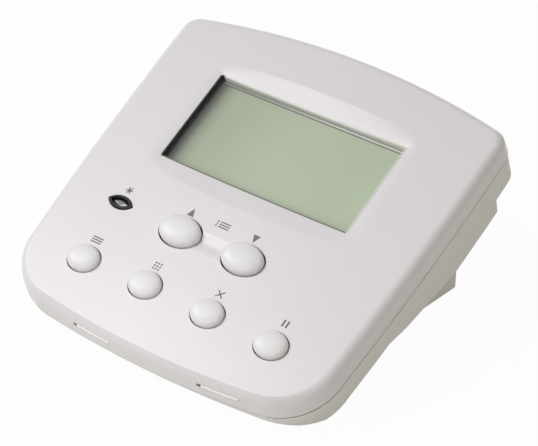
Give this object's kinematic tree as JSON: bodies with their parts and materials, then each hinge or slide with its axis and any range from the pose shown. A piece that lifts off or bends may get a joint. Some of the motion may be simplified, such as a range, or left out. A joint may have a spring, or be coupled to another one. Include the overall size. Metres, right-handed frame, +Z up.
{
  "type": "caller id box",
  "caption": "Desk telephone call display: wedge-standing two-part housing with a sloped face, blank display window, oval push keys, call lamp, cell bay with sliding door and modular sockets.",
  "frame": {"origin": "on the table under the middle of the whole box", "axes": "+X to the right of the face, +Y to the rear, +Z up from the table"},
  "size_m": [0.1254, 0.1225, 0.0568],
  "materials": {
    "housing_plastic": "fine satin",
    "key_plastic": "smooth satin",
    "clear_plastic": "clear, polished",
    "black_plastic": "satin",
    "display_glass": "grey-green, blank",
    "silicone": "matte",
    "foot_rubber": "matte",
    "board_laminate": "satin",
    "transformer_core": "satin",
    "capacitor_can": "satin",
    "lamp_plastic": "smoked, polished",
    "led_resin": "polished",
    "cell_jacket": "satin",
    "plated_steel": "bright",
    "lead_jacket": "satin",
    "contact_brass": "bright"
  },
  "bodies": {
    "housing": {"front_housing": "housing_plastic", "rear_housing": "housing_plastic", "display_window": "clear_plastic", "lcd_frame": "black_plastic", "lcd_glass": "display_glass", "zebra_strips": "silicone", "main_board": "board_laminate", "control_chip": "black_plastic", "line_transformer": "transformer_core", "board_capacitors": "capacitor_can", "keypad_mat": "silicone", "indicator_lens": "lamp_plastic", "indicator_led": "led_resin", "battery_cells": "cell_jacket", "battery_springs": "plated_steel", "battery_contacts": "plated_steel", "battery_leads": "lead_jacket", "line_jack": "black_plastic", "phone_jack": "black_plastic", "jack_contacts": "contact_brass", "jack_leads": "lead_jacket", "housing_screws": "plated_steel", "board_screws": "plated_steel", "rubber_feet": "foot_rubber"},
    "options_key": {"options_key": "key_plastic"},
    "dial_key": {"dial_key": "key_plastic"},
    "remove_key": {"remove_key": "key_plastic"},
    "waiting_key": {"waiting_key": "key_plastic"},
    "list_up_key": {"list_up_key": "key_plastic"},
    "list_down_key": {"list_down_key": "key_plastic"},
    "battery_door": {"battery_door": "housing_plastic"}
  },
  "joints": [
    {"name": "options_press", "type": "slide", "parent": "housing", "child": "options_key", "axis": [0, 0.3714, -0.9285], "range_m": [0, 0.001], "stiffness_N_per_m": 1500, "deforming": ["keypad_mat"]},
    {"name": "dial_press", "type": "slide", "parent": "housing", "child": "dial_key", "axis": [0, 0.3714, -0.9285], "range_m": [0, 0.001], "stiffness_N_per_m": 1500, "deforming": ["keypad_mat"]},
    {"name": "remove_press", "type": "slide", "parent": "housing", "child": "remove_key", "axis": [0, 0.3714, -0.9285], "range_m": [0, 0.001], "stiffness_N_per_m": 1500, "deforming": ["keypad_mat"]},
    {"name": "waiting_press", "type": "slide", "parent": "housing", "child": "waiting_key", "axis": [0, 0.3714, -0.9285], "range_m": [0, 0.001], "stiffness_N_per_m": 1500, "deforming": ["keypad_mat"]},
    {"name": "list_up_press", "type": "slide", "parent": "housing", "child": "list_up_key", "axis": [0, 0.3714, -0.9285], "range_m": [0, 0.001], "stiffness_N_per_m": 1500, "deforming": ["keypad_mat"]},
    {"name": "list_down_press", "type": "slide", "parent": "housing", "child": "list_down_key", "axis": [0, 0.3714, -0.9285], "range_m": [0, 0.001], "stiffness_N_per_m": 1500, "deforming": ["keypad_mat"]},
    {"name": "door_slide", "type": "slide", "parent": "housing", "child": "battery_door", "axis": [0, 1, 0], "range_m": [0, 0.05]}
  ]
}
